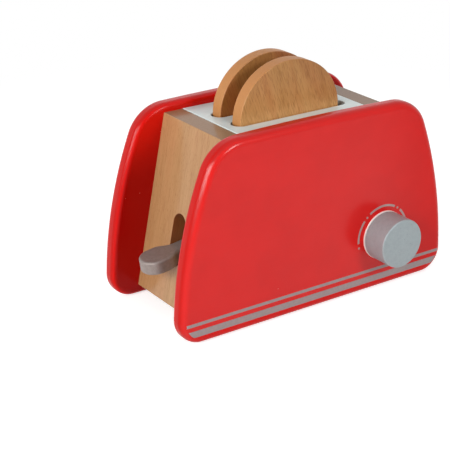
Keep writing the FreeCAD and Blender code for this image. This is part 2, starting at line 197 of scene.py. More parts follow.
class NodeBoard:
    """The node tree of one finish, or of the studio, and the ways to add to it."""

    def __init__(self, tree: bpy.types.NodeTree) -> None:
        """Works on a node tree that exists already."""
        self.tree = tree

    def node(
        self,
        kind: str,
        settings: Mapping[str, object] | None = None,
        sockets: Mapping[str | int, object] | None = None,
    ) -> bpy.types.Node:
        """Adds any node to the tree.

        Args:
            kind: The node's type, without the word ShaderNode.
            settings: Its settings, which are set first.
            sockets: Values or links by socket name or number.

        Returns:
            The new node.
        """
        node = self.tree.nodes.new("ShaderNode" + kind)
        for name, value in (settings or {}).items():
            setattr(node, name, value)
        for name, value in (sockets or {}).items():
            source = value.socket if isinstance(value, Shade) else value
            if isinstance(source, bpy.types.NodeSocket):
                self.tree.links.new(source, node.inputs[name])
            else:
                node.inputs[name].default_value = source
        return node

    def place(self) -> bpy.types.NodeSocket:
        """The place on the piece in millimetres."""
        return self.scaled(self.node("TexCoord").outputs["Object"], (1 / MM, 1 / MM, 1 / MM))

    def normal(self) -> bpy.types.NodeSocket:
        """The way that the piece's surface faces."""
        return self.node("TexCoord").outputs["Normal"]

    def parts(self, vector: bpy.types.NodeSocket) -> tuple[Shade, ...]:
        """The three parts of a vector."""
        return tuple(Shade(out) for out in self.node("SeparateXYZ", {}, {0: vector}).outputs)

    def scaled(self, vector: bpy.types.NodeSocket, by: Point) -> bpy.types.NodeSocket:
        """A vector multiplied part by part."""
        return self.node("VectorMath", {"operation": "MULTIPLY"}, {0: vector, 1: by}).outputs[0]

    def turned(self, vector: bpy.types.NodeSocket, angles: Point) -> bpy.types.NodeSocket:
        """A vector turned by three angles in degrees."""
        turn = tuple(math.radians(a) for a in angles)
        return self.node("Mapping", {}, {"Vector": vector, "Rotation": turn}).outputs[0]

    def clouds(self, vector: bpy.types.NodeSocket, pattern: Clouds) -> Shade:
        """Cloudy variation.

        Args:
            vector: The place in millimetres.
            pattern: The waves and their detail.

        Returns:
            A shade from 0 to 1, about one half.
        """
        waves = self.scaled(vector, pattern.waves)
        sockets = {"Vector": waves, "Scale": 1.0, "Detail": pattern.detail}
        return Shade(self.node("TexNoise", {}, sockets).outputs[0])

    def specks(self, vector: bpy.types.NodeSocket, pattern: Specks) -> Shade:
        """Scattered grains.

        Args:
            vector: The place in millimetres.
            pattern: The cells and the size and share of the grains.

        Returns:
            A shade that is 1 on the grains and 0 between them.
        """
        scaled = self.scaled(vector, pattern.cells)
        cells = self.node("TexVoronoi", {}, {"Vector": scaled, "Scale": 1.0})
        luck = Shade(self.node("SeparateColor", {}, {0: cells.outputs["Color"]}).outputs[0])
        grain = Shade(cells.outputs["Distance"]).ramp(pattern.size, pattern.size * pattern.core)
        empty = 1.0 - pattern.share
        return grain * luck.ramp(empty, empty + pattern.step)

    def tinted(
        self, amount: Number, low: object, high: object, blend: str = "MIX"
    ) -> bpy.types.NodeSocket:
        """Mixes two colours.

        Args:
            amount: How far from the first colour to the second.
            low: The first colour, or the socket that carries it.
            high: The second colour, or its socket.
            blend: The Mix node's way of blending.

        Returns:
            The socket with the mixed colour.
        """
        full = [(*c, 1.0) if isinstance(c, tuple) else c for c in (low, high)]
        settings = {"data_type": "RGBA", "blend_type": blend}
        return self.node("Mix", settings, {0: amount, 6: full[0], 7: full[1]}).outputs[2]

    def relief(self, height: Shade, depth: float) -> bpy.types.NodeSocket:
        """A bumped normal.

        Args:
            height: The height from 0 to 1.
            depth: What a height of 1 stands for, in millimetres.

        Returns:
            The normal's socket.
        """
        return self.node("Bump", {}, {"Distance": depth * MM, "Height": height}).outputs[0]


# -------------------------------------------------------------------- finishes


class Grain(Enum):
    """The axis that a wooden piece's grain runs along, as the turn that brings it upright."""

    LENGTHWAYS = (0.0, -90.0, 0.0)
    CROSSWAYS = (90.0, 0.0, 0.0)
    UPRIGHT = (0.0, 0.0, 0.0)


@dataclass(frozen=True)
class Finish:
    """What every finish has: a name, how rough it is and how a lacquer lies on it."""

    name: str
    roughness: float = 0.5
    coat: float = 0.0
    coat_roughness: float = 0.2
    specular: float = 0.5
    metallic: float = 0.0

    def varied(self, board: NodeBoard) -> dict[str, object]:
        """What changes over the surface, by socket of the shader."""
        raise NotImplementedError

    def make(self) -> bpy.types.Material:
        """Mixes the finish.

        Returns:
            The material, with everything that is the same all over set on its shader.
        """
        material = bpy.data.materials.new(self.name)
        material.use_nodes = True
        board = NodeBoard(material.node_tree)
        board.tree.nodes.clear()
        sockets: dict[str, object] = {
            "Roughness": self.roughness,
            "Coat Weight": self.coat,
            "Coat Roughness": self.coat_roughness,
            "Specular IOR Level": self.specular,
            "Metallic": self.metallic,
        }
        sockets.update(self.varied(board))
        shader = board.node("BsdfPrincipled", {}, sockets)
        board.node("OutputMaterial", {}, {"Surface": shader.outputs[0]})
        return material


@dataclass(frozen=True)
class SlotShade:
    """The walls of a round-ended slot, darkened as painted shade.

    Places are in millimetres, and the slot stands in a board that leans to the right. The painted
    shade starts at the mouth, a little outside the slot's radius.
    """

    board_lean: float
    across: float
    along: float
    reach: float
    radius: float
    mouth: Fade = Fade(0.4, 0.1)
    # The darker colour of the slot's walls: painted shade.
    brown: Colour = (0.66, 0.385, 0.25)

    def lay(self, board: NodeBoard, colour: bpy.types.NodeSocket) -> bpy.types.NodeSocket:
        """Darkens the wood on the slot's walls and just round its mouth, as painted shade.

        Args:
            board: The node tree of the finish.
            colour: The wood's colour so far.

        Returns:
            The colour with the painted shade.
        """
        spot = board.place()
        lean = math.radians(self.board_lean)
        up = (math.sin(lean), 0.0, math.cos(lean))
        dot = board.node("VectorMath", {"operation": "DOT_PRODUCT"}, {0: spot, 1: up})
        past = (abs(Shade(dot.outputs[1]) - self.along) - self.reach).either(0.0)
        side = board.parts(spot)[1] - self.across
        away = (side * side + past * past) ** 0.5
        # Painted shade on the walls and just round the mouth.
        return board.tinted(self.mouth.of(away, self.radius), colour, self.brown, "MULTIPLY")


@dataclass(frozen=True)
class ToastingAndShade:
    """The slices' colour: toasted darker towards the arch, with painted shade where they face each
    other and painted light near the plate.

    A leaning growth line crosses them. The wood is redder past the line, and a little more so well
    beyond it. Places are in millimetres.
    """

    between: tuple[float, float]
    arch: Fade
    # Near the plate the slices get painted light, as if thrown up by the white plate.
    lit_foot: Fade = Fade(118.0, 109.0)
    growth_line: tuple[float, float] = (12.0, 125.0)
    growth_lean: float = 35.0
    line: Fade = Fade(-1.5, 2.0, 0.8)
    beyond: Fade = Fade(2.0, 14.0, 0.2)
    # The painted shade where the slices face each other: where it starts and how it eases near the
    # top.
    gap_shade_edge: Fade = Fade(0.6, 0.2)
    gap_shade_top: Fade = Fade(112.0, 136.0, 0.5)
    rim: Fade = Fade(0.9, 0.3, 0.85)
    heart: Colour = (0.88, 0.80, 0.76)
    # The colour of the painted light near the plate.
    plate_bounce: Colour = (1.07, 1.13, 1.20)
    brown: Colour = (0.79, 0.77, 0.70)
    # The colour of the painted shade between the slices.
    gap_shade: Colour = (0.64, 0.43, 0.21)
    crust: Colour = (0.47, 0.20, 0.060)

    def lay(self, board: NodeBoard, colour: bpy.types.NodeSocket) -> bpy.types.NodeSocket:
        """Browns the wood and lays painted shade and painted light on it.

        Args:
            board: The node tree of the finish.
            colour: The wood's colour so far.

        Returns:
            The colour with browning, painted shade and painted light.
        """
        along, across, up = board.parts(board.place())
        low, high = self.between
        # Painted shade on the faces turned to each other, easing near the top.
        shaded_gap = self.gap_shade_edge.of(abs(across - (low + high) / 2), (high - low) / 2)
        shaded_gap = shaded_gap * (1.0 - self.gap_shade_top.of(up))
        # Painted light near the plate.
        lit_foot = self.lit_foot.of(up)
        lean, (x, z) = math.radians(self.growth_lean), self.growth_line
        past = (along - x) * math.cos(lean) + (up - z) * math.sin(lean)
        heart = (self.line.of(past) + self.beyond.of(past)) * (1.0 - lit_foot)
        tints = (
            (heart, self.heart),
            # painted light near the plate, kept off the faces turned to each other
            (lit_foot * (1.0 - shaded_gap), self.plate_bounce),
            (self.arch.of(up), self.brown),
            # painted shade between the slices
            (shaded_gap, self.gap_shade),
        )
        for amount, tint in tints:
            colour = board.tinted(amount, colour, tint, "MULTIPLY")
        facing = abs(board.parts(board.normal())[1])
        return board.tinted(self.rim.of(facing), colour, self.crust)


@dataclass(frozen=True)
class Beech(Finish):
    """Beech with its fibres, its faint growth bands and its short dark ray flecks."""

    grain: Grain = Grain.UPRIGHT
    lean: float = 0.0
    pale: Colour = (0.440, 0.250, 0.109)
    deep: Colour = (0.350, 0.182, 0.070)
    fleck: Colour = (0.24, 0.100, 0.038)
    end: Colour = (0.245, 0.140, 0.075)
    blush: Colour = (0.47, 0.225, 0.10)
    blushes: Clouds = Clouds((0.045, 0.045, 0.006), tint=Fade(0.45, 0.72, 0.45))
    bands: Clouds = Clouds((0.34, 0.34, 0.011), detail=3.0, tint=Fade(0.30, 0.70, 0.45))
    fibres: Clouds = Clouds((2.4, 2.4, 0.10), 3.0, Fade(0.32, 0.68, 0.55), height=0.45, rough=0.08)
    flecks: Specks = Specks((1.3, 1.3, 0.25), 0.27, 0.55, tint=0.45, height=-0.5, rough=0.12)
    dashes: Specks = Specks((0.95, 0.95, 0.075), 0.42, 0.85, tint=0.26)
    pores: Specks = Specks((3.0, 3.0, 0.2), 0.3, 0.8, tint=0.5, height=-0.6)
    dash_depth: float = 0.4
    end_turn: Fade = Fade(0.62, 0.93)
    end_tint: float = 0.72
    end_fibres: float = 0.2
    end_rough: float = 0.08
    relief: float = 0.035
    # Toast browning with painted shade and painted light, or painted shade in a slot.
    browning_and_shade: ToastingAndShade | SlotShade | None = None

    def varied(self, board: NodeBoard) -> dict[str, object]:
        """Lays bands, fibres, flecks and end grain over each other.

        Args:
            board: The node tree of the finish.

        Returns:
            The shader's colour, roughness and normal.
        """
        along = self.with_grain(board, board.place())
        fibres = board.clouds(along, self.fibres)
        flecks = board.specks(along, self.flecks)
        dashes = board.specks(along, self.dashes)
        marks = flecks.either(dashes * self.dash_depth)
        cut = self.end_turn.of(abs(board.parts(self.with_grain(board, board.normal()))[2]))
        pores = cut * board.specks(along, self.pores)
        depth = self.bands.tint.of(board.clouds(along, self.bands)) + self.fibres.tint.of(fibres)
        tints = (
            (self.blushes.tint.of(board.clouds(along, self.blushes)), self.blush),
            (dashes * self.dashes.tint, self.fleck),
            (flecks * self.flecks.tint, self.fleck),
            (cut * (fibres * self.end_fibres + self.end_tint), self.end),
        )
        colour = board.tinted(depth, self.pale, self.deep)
        for amount, tint in tints:
            colour = board.tinted(amount, colour, tint)
        # Toast browning, painted shade and painted light, where the piece has them.
        if self.browning_and_shade:
            colour = self.browning_and_shade.lay(board, colour)
        colour = board.tinted(pores * self.pores.tint, colour, self.fleck)
        height = fibres * self.fibres.height + marks * self.flecks.height
        rough = marks * self.flecks.rough + fibres * self.fibres.rough + cut * self.end_rough
        return {
            "Base Color": colour,
            "Roughness": rough + self.roughness,
            "Normal": board.relief(height + pores * self.pores.height, self.relief),
        }

    def with_grain(
        self, board: NodeBoard, vector: bpy.types.NodeSocket
    ) -> bpy.types.NodeSocket:
        """A vector turned so that the grain runs along its third part."""
        return board.turned(board.turned(vector, self.grain.value), (0.0, self.lean, 0.0))


@dataclass(frozen=True)
class Enamel(Finish):
    """Sprayed paint on smooth wood: a little orange peel, telegraphed grain and dust nibs.

    On the rounded edges, where the surface turns away from its flat axis, the colour is deeper as
    painted shade.
    """

    colour: Colour = (0.640, 0.0035, 0.0018)
    deep: Colour = (0.600, 0.0028, 0.0010)
    # The darker colour of the rounded edges: painted shade.
    edge_shade: Colour = (0.485, 0.003, 0.001)
    nib: Colour = (0.8, 0.45, 0.4)
    flat_axis: int = 1
    turning: Fade = Fade(0.85, 0.25)
    cloud: Clouds = Clouds((0.05, 0.05, 0.05), tint=Fade(0.3, 0.7, 0.85), rough=0.06)
    wood: Clouds = Clouds((1.1, 1.1, 0.035), tint=Fade(0.35, 0.65, 0.15), height=0.12)
    peel: Clouds = Clouds((0.55, 0.55, 0.55), height=0.6, rough=0.06)
    fine: Clouds = Clouds((2.6, 2.6, 2.6), detail=1.0, height=0.12)
    fine_on_edges: float = 0.30
    nibs: Specks = Specks((0.10, 0.10, 0.10), 0.028, 0.10, tint=0.7, height=0.6)
    grain: Grain = Grain.LENGTHWAYS
    relief: float = 0.016

    def varied(self, board: NodeBoard) -> dict[str, object]:
        """Lays cloudy thickness, peel, grain and nibs over each other.

        Args:
            board: The node tree of the finish.

        Returns:
            The shader's colour, coat, roughness and normal.
        """
        spot = board.place()
        cloud = board.clouds(spot, self.cloud)
        wood = board.clouds(board.turned(spot, self.grain.value), self.wood)
        peel = board.clouds(spot, self.peel)
        fine = board.clouds(spot, self.fine)
        nibs = board.specks(spot, self.nibs)
        facing = abs(board.parts(board.normal())[self.flat_axis])
        rounded = self.turning.of(facing)
        depth = self.cloud.tint.of(cloud) + self.wood.tint.of(wood)
        colour = board.tinted(depth, self.colour, self.deep)
        colour = board.tinted(nibs * self.nibs.tint, colour, self.nib)
        # Painted shade on the rounded edges.
        colour = board.tinted(rounded, colour, self.edge_shade)
        colour, gloss = self.fitted(board, colour, facing, rounded)
        height = peel * self.peel.height + wood * self.wood.height + nibs * self.nibs.height
        height = height + fine * (rounded * self.fine_on_edges + self.fine.height)
        rough = peel.swing(self.peel.rough) + cloud.swing(self.cloud.rough)
        return {
            "Base Color": colour,
            "Coat Weight": gloss,
            "Roughness": rough + self.roughness,
            "Normal": board.relief(height, self.relief),
        }

    def fitted(
        self, board: NodeBoard, colour: bpy.types.NodeSocket, facing: Shade, rounded: Shade
    ) -> tuple[bpy.types.NodeSocket, Number]:
        """Fits the paint to its piece, which for plain enamel leaves it as it is.

        Args:
            board: The node tree of the finish.
            colour: The paint's colour so far.
            facing: How squarely the surface faces along its flat axis.
            rounded: 1 on the rounded edges and 0 on the flat faces.

        Returns:
            The colour and the weight of the coat.
        """
        return colour, self.coat


@dataclass(frozen=True)
class PanelEnamel(Enamel):
    """The side panels' enamel, glossiest on the shoulders, with painted shade inside the case and
    under the shoulders' highlight, lighter high up inside as painted light.

    Places are in millimetres. What is inside lies within a span across the case.
    """

    inside_span: tuple[float, float] = field(kw_only=True)
    # Painted shade inside the case.
    inside_shade: Colour = (0.345, 0.0022, 0.001)
    # The painted shade inside is lighter high up towards the lever end, as painted light.
    inside_lit_high: Colour = (0.56, 0.006, 0.002)
    # Painted shade under the shoulders' highlight.
    shaded_shoulder: Colour = (0.33, 0.003, 0.001)
    # How the painted shade inside starts at the inner faces.
    inside_shade_edge: Fade = Fade(1.0, 0.0)
    # Where that painted light inside rises, and how it grows towards the lever end.
    lit_high_inside: Fade = Fade(70.0, 112.0)
    lit_towards_lever: Fade = Fade(20.0, -60.0)
    # Where the painted edge shade is taken back, on the top edges.
    unshaded_crest: Fade = Fade(108.0, 120.0)
    dust: Specks = Specks((0.19, 0.19, 0.19), 0.055, 0.5, tint=0.5)
    dull_far_end: Fade = Fade(25.0, 95.0, 0.5)
    dull_low_edges: Fade = Fade(76.0, 50.0, 0.65)
    dull_foot: Fade = Fade(9.0, 2.0, 0.85)
    dull_below_plate: Fade = Fade(118.0, 108.0, 0.75)
    dull_inside: Fade = Fade(3.4, 0.6)
    rim: Fade = Fade(0.62, 0.34)
    dull_rim: float = 0.4
    sides: Fade = Fade(52.0, 74.0)
    shoulder_rise: Fade = Fade(52.0, 82.0)
    shoulder_gloss: float = 0.44

    def fitted(
        self, board: NodeBoard, colour: bpy.types.NodeSocket, facing: Shade, rounded: Shade
    ) -> tuple[bpy.types.NodeSocket, Number]:
        """Lays painted shade inside the case and under the shoulders' highlight, painted light
        high up inside, takes the painted edge shade back on the top edges, and dulls the coat by
        place.

        Args:
            board: The node tree of the finish.
            colour: The paint's colour so far.
            facing: How squarely the surface faces to the front or the back.
            rounded: 1 on the rounded edges and 0 on the flat faces.

        Returns:
            The colour and the weight of the coat.
        """
        spot = board.place()
        along, across, up = board.parts(spot)
        low, high = self.inside_span
        half, off_middle = (high - low) / 2, abs(across - (low + high) / 2)
        # Painted shade on the inner faces.
        inside_shade = self.inside_shade_edge.of(off_middle, half)
        # Painted light high up inside, towards the lever end.
        lit_high_up = self.lit_high_inside.of(up) * self.lit_towards_lever.of(along)
        dust = board.specks(spot, self.dust) * inside_shade
        rim, sides = self.rim.of(facing), self.sides.of(abs(along))
        # The shoulders get painted shade under their highlight, and a glossier coat.
        shaded_shoulder = sides * self.shoulder_rise.of(up) * rounded * (1.0 - rim)
        tints = (
            # The painted edge shade is taken back on the top edges.
            (rounded * self.unshaded_crest.of(up), self.colour),
            (inside_shade, board.tinted(lit_high_up, self.inside_shade, self.inside_lit_high)),
            (dust * self.dust.tint, self.nib),
            # painted shade on the shoulders
            (shaded_shoulder, self.shaded_shoulder),
        )
        for amount, tint in tints:
            colour = board.tinted(amount, colour, tint)
        dull = self.dull_far_end.of(along)
        dull = dull.either(rounded * self.dull_low_edges.of(up))
        dull = dull.either(self.dull_foot.of(up))
        dull = dull.either(self.dull_inside.of(off_middle, half) * self.dull_below_plate.of(up))
        dull = dull.either(rim * sides * self.dull_rim)
        return colour, (shaded_shoulder * self.shoulder_gloss + self.coat) * (1.0 - dull)


@dataclass(frozen=True)
class SilverEnamel(Finish):
    """Silver paint: fine aluminium flake in a clear binder over turned wood."""

    colour: Colour = (0.298, 0.348, 0.361)
    deep: Colour = (0.275, 0.321, 0.334)
    flake: Colour = (0.40, 0.45, 0.46)
    pit: Colour = (0.10, 0.10, 0.10)
    cloud: Clouds = Clouds((0.5, 0.5, 0.5), detail=3.0)
    fine: Clouds = Clouds((3.2, 3.2, 3.2), height=0.25, rough=0.12)
    peel: Clouds = Clouds((0.8, 0.8, 0.8), height=0.6)
    flakes: Specks = Specks((4.5, 4.5, 4.5), 0.42, 0.35, tint=0.45, rough=-0.05)
    flake_metal: float = 0.15
    pits: Specks = Specks((0.6, 0.6, 0.6), 0.13, 0.35, tint=0.7)
    relief: float = 0.014

    def varied(self, board: NodeBoard) -> dict[str, object]:
        """Lays flake, pits and faint clouds over each other.

        Args:
            board: The node tree of the finish.

        Returns:
            The shader's colour, roughness, metal and normal.
        """
        spot = board.place()
        flakes = board.specks(spot, self.flakes)
        fine = board.clouds(spot, self.fine)
        peel = board.clouds(spot, self.peel)
        cloud = self.cloud.tint.of(board.clouds(spot, self.cloud))
        colour = board.tinted(cloud, self.colour, self.deep)
        colour = board.tinted(flakes * self.flakes.tint, colour, self.flake)
        colour = board.tinted(board.specks(spot, self.pits) * self.pits.tint, colour, self.pit)
        height = peel * self.peel.height + fine * self.fine.height
        rough = fine.swing(self.fine.rough) + flakes * self.flakes.rough
        return {
            "Base Color": colour,
            "Roughness": rough + self.roughness,
            "Metallic": flakes * self.flake_metal + self.metallic,
            "Normal": board.relief(height, self.relief),
        }


@dataclass(frozen=True)
class Steel(Finish):
    """Zinc plated steel with fine drawing lines."""

    colour: Colour = (0.62, 0.62, 0.64)
    deep: Colour = (0.42, 0.43, 0.46)
    grain: Grain = Grain.CROSSWAYS
    lines: Clouds = Clouds((6.0, 6.0, 0.25), rough=0.2)
    cloud: Clouds = Clouds((0.5, 0.5, 0.5), detail=3.0, tint=Fade(0.35, 0.7))
    relief: float = 0.01

    def varied(self, board: NodeBoard) -> dict[str, object]:
        """Lays the lines and the plating's clouds over each other.

        Args:
            board: The node tree of the finish.

        Returns:
            The shader's colour, roughness and normal.
        """
        spot = board.place()
        lines = board.clouds(board.turned(spot, self.grain.value), self.lines)
        cloud = self.cloud.tint.of(board.clouds(spot, self.cloud))
        return {
            "Base Color": board.tinted(cloud, self.colour, self.deep),
            "Roughness": lines.swing(self.lines.rough) + self.roughness,
            "Normal": board.relief(lines, self.relief),
        }


@dataclass(frozen=True)
class Plastic(Finish):
    """Matt moulded plastic with a fine spark-eroded grain."""

    colour: Colour = (0.90, 0.88, 0.84)
    deep: Colour = (0.85, 0.83, 0.79)
    cloud: Clouds = Clouds((0.25, 0.25, 0.25))
    erosion: Clouds = Clouds((5.0, 5.0, 5.0), rough=0.2)
    relief: float = 0.012

    def varied(self, board: NodeBoard) -> dict[str, object]:
        """Lays a fine grain and a faint cloud over each other.

        Args:
            board: The node tree of the finish.

        Returns:
            The shader's colour, roughness and normal.
        """
        spot = board.place()
        cloud = self.cloud.tint.of(board.clouds(spot, self.cloud))
        erosion = board.clouds(spot, self.erosion)
        return {
            "Base Color": board.tinted(cloud, self.colour, self.deep),
            "Roughness": erosion.swing(self.erosion.rough) + self.roughness,
            "Normal": board.relief(erosion, self.relief),
        }


def dress(finish: Finish, *nodes: str) -> None:
    """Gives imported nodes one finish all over.

    Args:
        finish: The finish, which is mixed once for all of them.
        nodes: The names of the nodes.
    """
    material = finish.make()
    for name in nodes:
        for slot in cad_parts[name].material_slots:
            slot.material = material
        log.info("%s is finished in %s", name, finish.name)


# ------------------------------------------------------------------- modelling


@contextmanager
def shaping(piece: bpy.types.Object) -> Iterator[None]:
    """Selects one piece alone and keeps it in edit mode with all of it selected.

    Args:
        piece: The piece to work on.

    Yields:
        Nothing, while the piece is in edit mode.
    """
    bpy.ops.object.select_all(action="DESELECT")
    bpy.context.view_layer.objects.active = piece
    piece.select_set(True)
    bpy.ops.object.mode_set(mode="EDIT")
    bpy.ops.mesh.select_all(action="SELECT")
    yield
    bpy.ops.object.mode_set(mode="OBJECT")


def pick(piece: bpy.types.Object, wanted: Callable[[Vector], bool]) -> None:
    """Selects the points of a piece in edit mode by where they are.

    Args:
        piece: The piece, which is in edit mode.
        wanted: Tells from a point's place whether it is selected.
    """
    bpy.ops.mesh.select_mode(type="VERT")
    bpy.ops.mesh.select_all(action="DESELECT")
    bpy.ops.object.mode_set(mode="OBJECT")
    for point in piece.data.vertices:
        point.select = wanted(point.co)
    bpy.ops.object.mode_set(mode="EDIT")


def face_front(piece: bpy.types.Object) -> None:
    """Turns the faces that look backwards, so that all look to the front.

    Args:
        piece: A flat piece.
    """
    with shaping(piece):
        bpy.ops.mesh.select_mode(type="FACE")
        bpy.ops.mesh.select_all(action="DESELECT")
        bpy.ops.object.mode_set(mode="OBJECT")
        for flat in piece.data.polygons:
            flat.select = flat.normal.y > 0
        bpy.ops.object.mode_set(mode="EDIT")
        bpy.ops.mesh.flip_normals()


def settle(piece: bpy.types.Object) -> None:
    """Puts a piece's place and turn into its mesh, so that its object sits at the origin.

    Args:
        piece: The piece, whose mesh is its own.
    """
    bpy.ops.object.select_all(action="DESELECT")
    bpy.context.view_layer.objects.active = piece
    piece.select_set(True)
    bpy.ops.object.transform_apply(location=True, rotation=True, scale=True)


def thicken(piece: bpy.types.Object, thickness: float) -> None:
    """Gives a flat piece a wall that grows outwards.

    Args:
        piece: The flat piece.
        thickness: The wall in millimetres.
    """
    wall = piece.modifiers.new("wall", "SOLIDIFY")
    wall.thickness, wall.offset = thickness * MM, 1.0
    with bpy.context.temp_override(object=piece, active_object=piece):
        bpy.ops.object.modifier_apply(modifier=wall.name)


@dataclass
class SidePanels:
    """The two rounded panels and what is printed on the front one.

    Sizes are in millimetres, and the dial's angles in degrees from the right.
    """

    nodes: tuple[str, ...] = ("front_panel", "back_panel")
    ink_depth: float = 0.05
    ink_reach: float = 0.26
    wide_stripe: tuple[float, float] = (5.4, 9.4)
    narrow_stripe: tuple[float, float] = (12.1, 14.0)
    dial_centre: tuple[float, float] = (46.0, 34.1)
    dial_radius: float = 18.4
    dial_line: float = 1.35
    dial_dots: tuple[float, ...] = (-8.0, 54.0, 132.0, 194.0)
    dial_arcs: tuple[tuple[float, float], ...] = ((1.0, 45.5), (62.0, 123.5), (140.0, 185.0))
    dot_radius: float = 0.702
    dot_points: int = 28
    arc_step: float = 3.0
    fewest_steps: int = 8
    face: float = field(init=False)

    def __post_init__(self) -> None:
        """Reads where the printed face is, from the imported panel."""
        self.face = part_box("front_panel")[0].y / MM

    def build(self, ink: SilverEnamel, dial_ink: SilverEnamel) -> None:
        """Makes the printed films.

        Args:
            ink: The stripes' ink.
            dial_ink: The dial's ink, which is paler.
        """
        stripes = (
            self.stripe("stripe_wide", *self.wide_stripe),
            self.stripe("stripe_narrow", *self.narrow_stripe),
        )
        printed = {ink.make(): stripes, dial_ink.make(): (self.dial(),)}
        for laid, films in printed.items():
            for film in films:
                film.data.materials.clear()
                film.data.materials.append(laid)
                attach(film, "case")
                log.info("%s is printed on the front panel", film.name)

    def stripe(self, name: str, low: float, high: float) -> bpy.types.Object:
        """Cuts one stripe from a copy of the panel's skin.

        Args:
            name: The film's name.
            low: Its lower edge.
            high: Its upper edge.

        Returns:
            The film, which follows the panel's rounded edge at its ends.
        """
        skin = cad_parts["front_panel"].data.copy()
        film = bpy.data.objects.new(name, skin)
        bpy.context.scene.collection.objects.link(film)
        cuts = (
            ((0.0, 0.0, low), (0.0, 0.0, -1.0)),
            ((0.0, 0.0, high), (0.0, 0.0, 1.0)),
            ((0.0, self.face + self.ink_reach, 0.0), (0.0, 1.0, 0.0)),
        )
        with shaping(film):
            bpy.ops.mesh.remove_doubles(threshold=TOUCHING)
            bpy.ops.mesh.customdata_custom_splitnormals_clear()
            for place, outwards in cuts:
                bpy.ops.mesh.select_all(action="SELECT")
                at = tuple(c * MM for c in place)
                bpy.ops.mesh.bisect(plane_co=at, plane_no=outwards, clear_outer=True)
        thicken(film, self.ink_depth)
        return film

    def on_dial(self, angle: float) -> Point:
        """Finds a place on the dial ring.

        Args:
            angle: Where it is, in degrees from the right.

        Returns:
            The place in metres.
        """
        x, z = self.dial_centre
        turn = math.radians(angle)
        across, up = self.dial_radius * math.cos(turn), self.dial_radius * math.sin(turn)
        return ((x + across) * MM, self.face * MM, (z + up) * MM)

    def arc(self, start: float, end: float) -> bpy.types.Object:
        """Sweeps one line of the dial round its centre.

        Args:
            start: The angle where it starts, in degrees.
            end: The angle where it ends.

        Returns:
            The flat line.
        """
        x, z = self.dial_centre
        lead = start + math.degrees(self.dial_line / 2 / self.dial_radius)
        bpy.ops.mesh.primitive_plane_add(
            size=self.dial_line * MM,
            location=self.on_dial(lead),
            rotation=(math.pi / 2, -math.radians(lead), 0.0),
        )
        line = bpy.context.object
        with shaping(line):
            pick(line, lambda co: co.y > 0)
            bpy.ops.mesh.delete(type="VERT")
        settle(line)
        with shaping(line):
            bpy.ops.mesh.spin(
                steps=max(self.fewest_steps, round((end - start) / self.arc_step)),
                angle=math.radians(end - start),
                center=(x * MM, self.face * MM, z * MM),
                axis=(0.0, 1.0, 0.0),
            )
        return line

    def dot(self, angle: float) -> bpy.types.Object:
        """Sets one round dot on the dial ring.

        Args:
            angle: Where it is, in degrees from the right.

        Returns:
            The flat dot.
        """
        bpy.ops.mesh.primitive_circle_add(
            vertices=self.dot_points,
            radius=self.dot_radius * MM,
            fill_type="NGON",
            location=self.on_dial(angle),
            rotation=(math.pi / 2, 0.0, 0.0),
        )
        mark = bpy.context.object
        settle(mark)
        return mark

    def dial(self) -> bpy.types.Object:
        """Joins the lines and dots round the knob.

        Returns:
            The film.
        """
        marks = [self.arc(*ends) for ends in self.dial_arcs]
        marks += [self.dot(angle) for angle in self.dial_dots]
        bpy.ops.object.select_all(action="DESELECT")
        for mark in marks:
            mark.select_set(True)
        film = marks[0]
        bpy.context.view_layer.objects.active = film
        bpy.ops.object.join()
        film.name = film.data.name = "dial_marks"
        with shaping(film):
            bpy.ops.mesh.remove_doubles(threshold=TOUCHING)
        face_front(film)
        thicken(film, self.ink_depth)
        return film

    def dress(self, paint: Enamel) -> None:
        """Paints both panels."""
        dress(paint, *self.nodes)


@dataclass
class Case:
    """The boards between the panels.

    The slot's sizes are in millimetres, counted up the leaning board, and the lean in degrees.
    """

    board_lean: float = 11.3
    slot_along: float = 29.57
    slot_reach: float = 9.5
    slot_radius: float = 6.0

    def dress(self, lacquered: Callable[..., Beech], bare: Callable[..., Beech]) -> None:
        """Finishes the boards, the plate and the joinery.

        Args:
            lacquered: Gives the lacquered beech for a name, a grain and a lean.
            bare: Gives the bare beech in the same way.
        """
        lean = self.board_lean
        low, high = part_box("left_end_board")
        # Painted shade on the walls of the left board's slot.
        slot = SlotShade(
            board_lean=lean,
            across=(low.y + high.y) / 2 / MM,
            along=self.slot_along,
            reach=self.slot_reach,
            radius=self.slot_radius,
        )
        left = replace(lacquered("clear_beech_left", Grain.UPRIGHT, -lean), browning_and_shade=slot)
        # The right board's beech is darker than the left's: painted shade on the far board.
        right = replace(
            lacquered("shaded_clear_beech_right", Grain.UPRIGHT, lean),
            pale=(0.38, 0.222, 0.104),
            deep=(0.30, 0.160, 0.068),
            end=(0.16, 0.095, 0.054),
        )
        dress(left, "left_end_board")
        dress(right, "right_end_board")
        dress(
            Enamel(
                "white_enamel",
                roughness=0.34,
                colour=(0.70, 0.775, 0.765),
                deep=(0.67, 0.745, 0.735),
                # Painted shade on the plate's rounded edges.
                edge_shade=(0.44, 0.48, 0.47),
                flat_axis=2,
                nib=(0.5, 0.48, 0.44),
                nibs=replace(Enamel.nibs, share=0.04),
            ),
            "top_plate",
        )
        dress(bare("bare_beech_base", Grain.LENGTHWAYS), "base_board")
        dress(
            bare("bare_beech_across", Grain.CROSSWAYS),
            "top_cleat_left",
            "top_cleat_right",
            "base_cleat_left",
            "base_cleat_right",
            "panel_dowels_front",
            "panel_dowels_back",
        )
        zinc = Steel("zinc_screws", roughness=0.3, metallic=1.0, grain=Grain.UPRIGHT)
        dress(zinc, "base_screws")


